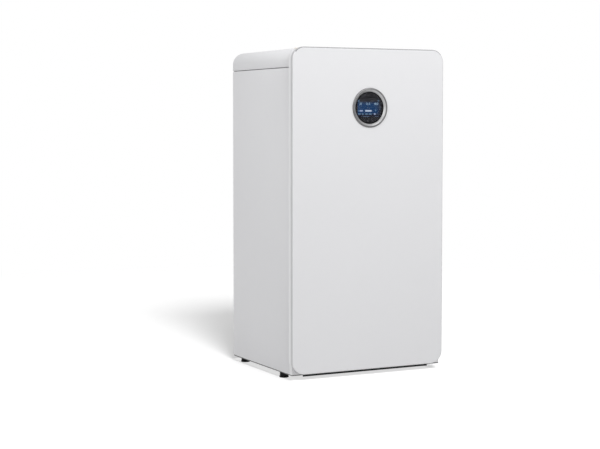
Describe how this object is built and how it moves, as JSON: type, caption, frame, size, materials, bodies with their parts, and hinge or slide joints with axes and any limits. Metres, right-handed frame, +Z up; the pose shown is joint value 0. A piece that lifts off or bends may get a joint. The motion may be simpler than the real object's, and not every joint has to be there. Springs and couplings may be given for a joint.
{
  "type": "ground source heat pump",
  "caption": "Free-standing brine-to-water heat pump cabinet with a pull-off front panel, a round display and pipe couplings on top.",
  "frame": {"origin": "the middle of the footprint at floor level, under the centre of the whole part's box", "axes": "+Z up, +X to the right of someone who faces the display, +Y from the front towards the back"},
  "size_m": [0.6, 0.548, 1.168],
  "materials": {
    "white_paint": "fine satin powder coat",
    "cover_plastic": "satin moulded plastic",
    "galvanised_steel": "galvanised sheet",
    "stainless_steel": "pressed stainless",
    "satin_metal": "satin turned",
    "copper": "drawn copper tube",
    "brass": "machined brass",
    "cast_iron": "dark cataphoretic coat",
    "black_enamel": "black enamel",
    "black_plastic": "moulded",
    "rubber": "moulded rubber",
    "display_glass": "black gloss window",
    "display_screen": "lit blue panel",
    "circuit_board": "solder mask",
    "breaker_plastic": "moulded",
    "red_plastic": "moulded",
    "foam": "open-cell acoustic foam"
  },
  "bodies": {
    "cabinet": {"frame_top_rail": "white_paint", "frame_left_post": "white_paint", "frame_right_post": "white_paint", "left_side_panel": "white_paint", "right_side_panel": "white_paint", "back_panel": "galvanised_steel", "top_cover": "cover_plastic", "connection_plate": "galvanised_steel", "base_tray": "galvanised_steel", "divider_shelf": "galvanised_steel", "compressor": "black_enamel", "compressor_terminal_cover": "black_plastic", "compressor_mount_1": "rubber", "compressor_mount_2": "rubber", "compressor_mount_3": "rubber", "compressor_mount_4": "rubber", "evaporator": "stainless_steel", "condenser": "stainless_steel", "discharge_pipe": "copper", "suction_pipe": "copper", "liquid_pipe": "copper", "injection_pipe": "copper", "filter_drier": "copper", "expansion_valve": "brass", "brine_pump_housing": "cast_iron", "brine_pump_motor": "black_plastic", "heating_pump_housing": "cast_iron", "heating_pump_motor": "black_plastic", "immersion_heater": "stainless_steel", "brine_in_pipe": "copper", "brine_feed_pipe": "copper", "brine_out_pipe": "copper", "return_pipe": "copper", "condenser_feed_pipe": "copper", "condenser_out_pipe": "copper", "flow_pipe": "copper", "flow_coupling": "brass", "return_coupling": "brass", "brine_in_coupling": "brass", "brine_out_coupling": "brass", "power_cable_gland": "black_plastic", "electrical_box": "galvanised_steel", "electrical_cover": "white_paint", "control_board": "circuit_board", "breaker": "breaker_plastic"},
    "front_panel": {"front_panel": "white_paint", "front_panel_insulation": "foam", "display_bezel": "satin_metal", "display_glass": "display_glass", "display_screen": "display_screen", "display_housing": "black_plastic"},
    "foot_front_left": {"foot_front_left": "black_plastic"},
    "foot_front_right": {"foot_front_right": "black_plastic"},
    "foot_rear_left": {"foot_rear_left": "black_plastic"},
    "foot_rear_right": {"foot_rear_right": "black_plastic"},
    "brine_pump_rotor": {"brine_pump_rotor": "stainless_steel"},
    "heating_pump_rotor": {"heating_pump_rotor": "stainless_steel"},
    "breaker_toggle": {"breaker_toggle": "black_plastic"},
    "mode_switch": {"mode_switch": "black_plastic"},
    "reset_button": {"reset_button": "red_plastic"}
  },
  "joints": [
    {"name": "front_panel_pull", "type": "slide", "parent": "cabinet", "child": "front_panel", "axis": [0, -1, 0], "range_m": [0, 0.45]},
    {"name": "foot_front_left_screw", "type": "slide", "parent": "cabinet", "child": "foot_front_left", "axis": [0, 0, -1], "range_m": [0, 0.015]},
    {"name": "foot_front_right_screw", "type": "slide", "parent": "cabinet", "child": "foot_front_right", "axis": [0, 0, -1], "range_m": [0, 0.015]},
    {"name": "foot_rear_left_screw", "type": "slide", "parent": "cabinet", "child": "foot_rear_left", "axis": [0, 0, -1], "range_m": [0, 0.015]},
    {"name": "foot_rear_right_screw", "type": "slide", "parent": "cabinet", "child": "foot_rear_right", "axis": [0, 0, -1], "range_m": [0, 0.015]},
    {"name": "brine_pump_spin", "type": "hinge", "parent": "cabinet", "child": "brine_pump_rotor", "pos_m": [0.1992, 0.06, 0.85], "axis": [0, 1, 0], "continuous": true},
    {"name": "heating_pump_spin", "type": "hinge", "parent": "cabinet", "child": "heating_pump_rotor", "pos_m": [0.0552, 0.06, 0.85], "axis": [0, 1, 0], "continuous": true},
    {"name": "breaker_toggle_throw", "type": "hinge", "parent": "cabinet", "child": "breaker_toggle", "pos_m": [-0.2232, -0.21, 0.9623], "axis": [1, 0, 0], "range_deg": [0, 90]},
    {"name": "mode_switch_turn", "type": "hinge", "parent": "cabinet", "child": "mode_switch", "pos_m": [-0.2232, -0.205, 0.8723], "axis": [0, 1, 0], "range_deg": [0, 90]},
    {"name": "reset_button_press", "type": "slide", "parent": "cabinet", "child": "reset_button", "axis": [0, 1, 0], "range_m": [0, 0.003], "stiffness_N_per_m": 300, "springref_m": -0.001}
  ]
}
